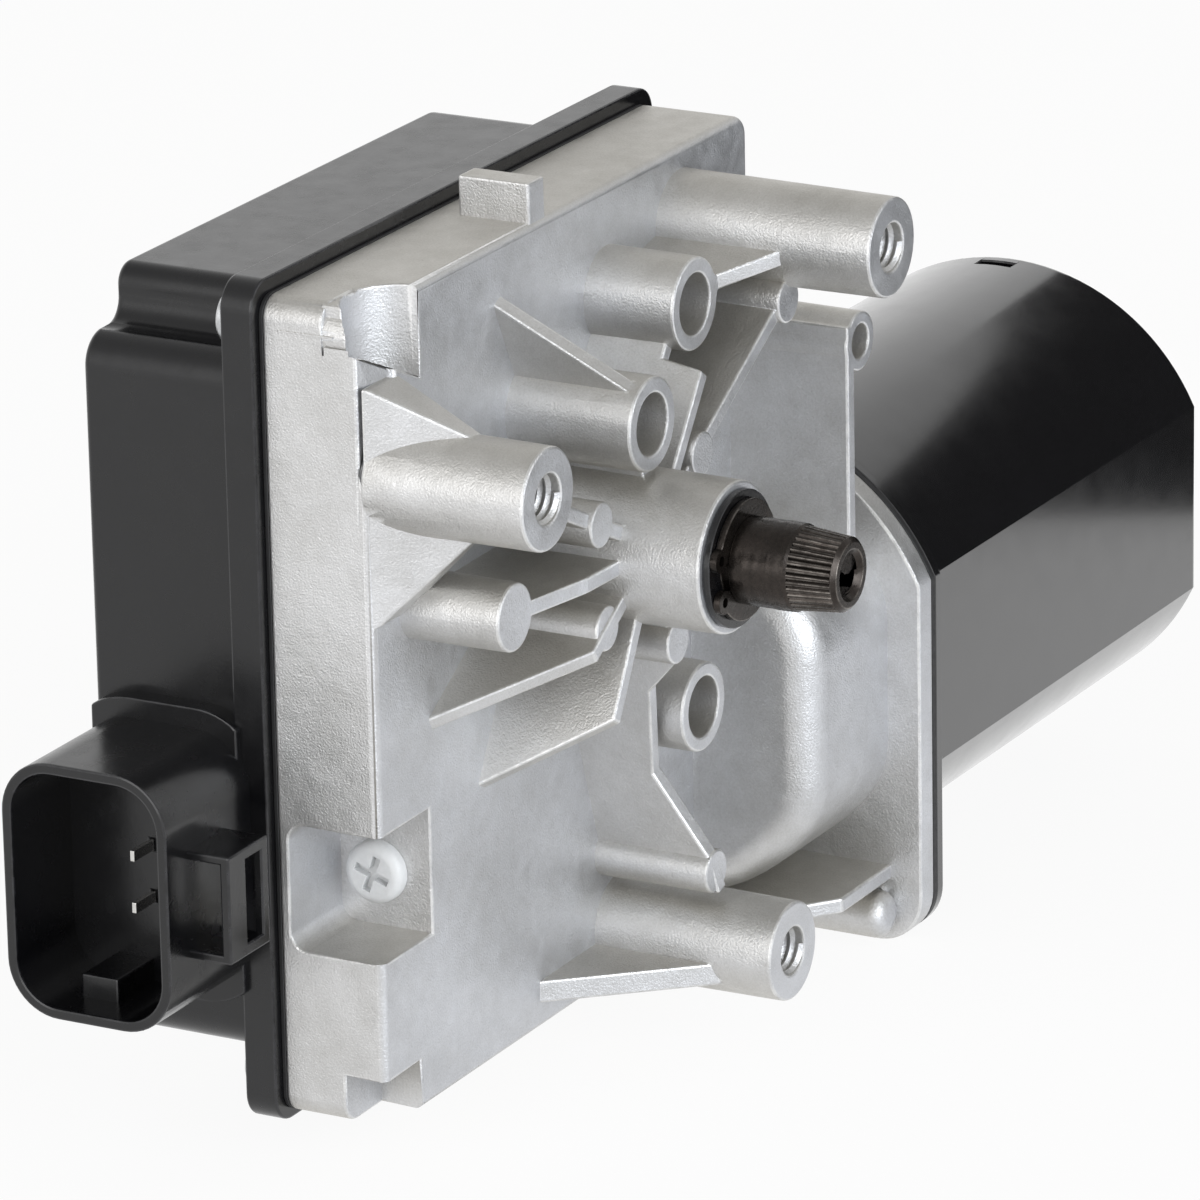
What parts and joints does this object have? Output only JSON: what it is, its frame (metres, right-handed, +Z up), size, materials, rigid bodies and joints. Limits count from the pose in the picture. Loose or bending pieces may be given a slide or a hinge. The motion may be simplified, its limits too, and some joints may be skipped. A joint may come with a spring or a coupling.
{
  "type": "wiper motor",
  "caption": "Windscreen wiper gear motor: flattened DC motor can on a die-cast worm gear case with a splined output shaft, plastic rear cover and connector socket.",
  "frame": {"origin": "on the output shaft's axis, level with the end face of the low mounting boss and with the inner end of the M6 thread in the shaft", "axes": "-Y along the output shaft out of the case, +X along the motor away from the gear case, +Z up across the worm wheel"},
  "size_m": [0.2354, 0.0898, 0.1257],
  "materials": {
    "cast_aluminium": "satin die-cast",
    "oxide_steel": "dark oxide",
    "steel": "machined",
    "zinc_screws": "zinc plated",
    "tin_plate": "tin plated",
    "copper": "copper",
    "bronze": "sintered bronze",
    "brass": "pressed brass",
    "white_nylon": "moulded nylon",
    "black_plastic": "satin moulded",
    "brown_board": "phenolic board",
    "green_board": "lacquered board",
    "ferrite": "ferrite",
    "carbon": "carbon",
    "black_rubber": "moulded rubber",
    "black_paint": "satin gloss black"
  },
  "bodies": {
    "housing": {"gear_housing": "cast_aluminium", "worm_end_bush": "bronze", "main_bush": "bronze", "end_bush": "bronze", "thrust_ball": "steel", "thrust_screw": "white_nylon", "brush_card": "brown_board", "magnet_upper": "ferrite", "magnet_lower": "ferrite", "motor_can": "black_paint", "can_gasket": "black_rubber", "can_screws": "zinc_screws", "rear_cover": "black_plastic", "cover_gasket": "black_rubber", "cover_screws": "zinc_screws", "connector_terminals": "tin_plate", "circuit_board": "green_board", "board_screws": "zinc_screws", "park_contacts": "bronze", "front_bush": "bronze", "rear_bush": "bronze", "shaft_seal": "black_rubber", "shaft_washer": "black_plastic", "wheel_washer": "steel", "brush_holder_upper": "brass", "brush_holder_lower": "brass", "brush_spring_upper": "steel", "brush_spring_lower": "steel"},
    "output": {"output_shaft": "oxide_steel", "gear_hub": "steel", "drive_gear": "white_nylon", "park_ring": "copper", "retaining_clip": "oxide_steel"},
    "armature": {"armature_shaft": "steel", "armature_core": "steel", "armature_windings": "copper", "commutator": "copper"},
    "brush_upper": {"brush_upper": "carbon"},
    "brush_lower": {"brush_lower": "carbon"}
  },
  "joints": [
    {"name": "armature_spin", "type": "hinge", "parent": "housing", "child": "armature", "pos_m": [0, 0.0348, -0.0393], "axis": [1, 0, 0], "continuous": true},
    {"name": "output_spin", "type": "hinge", "parent": "housing", "child": "output", "pos_m": [0, 0, 0], "axis": [0, -1, 0], "continuous": true},
    {"name": "brush_upper_slide", "type": "slide", "parent": "housing", "child": "brush_upper", "axis": [0, 0, 1], "range_m": [0, 0.003], "stiffness_N_per_m": 200, "springref_m": -0.005, "deforming": ["brush_spring_upper"]},
    {"name": "brush_lower_slide", "type": "slide", "parent": "housing", "child": "brush_lower", "axis": [0, 0, -1], "range_m": [0, 0.003], "stiffness_N_per_m": 200, "springref_m": -0.005, "deforming": ["brush_spring_lower"]}
  ],
  "couplings": [
    {"joint": "output_spin", "follows": "armature_spin", "ratio": -0.014286}
  ]
}
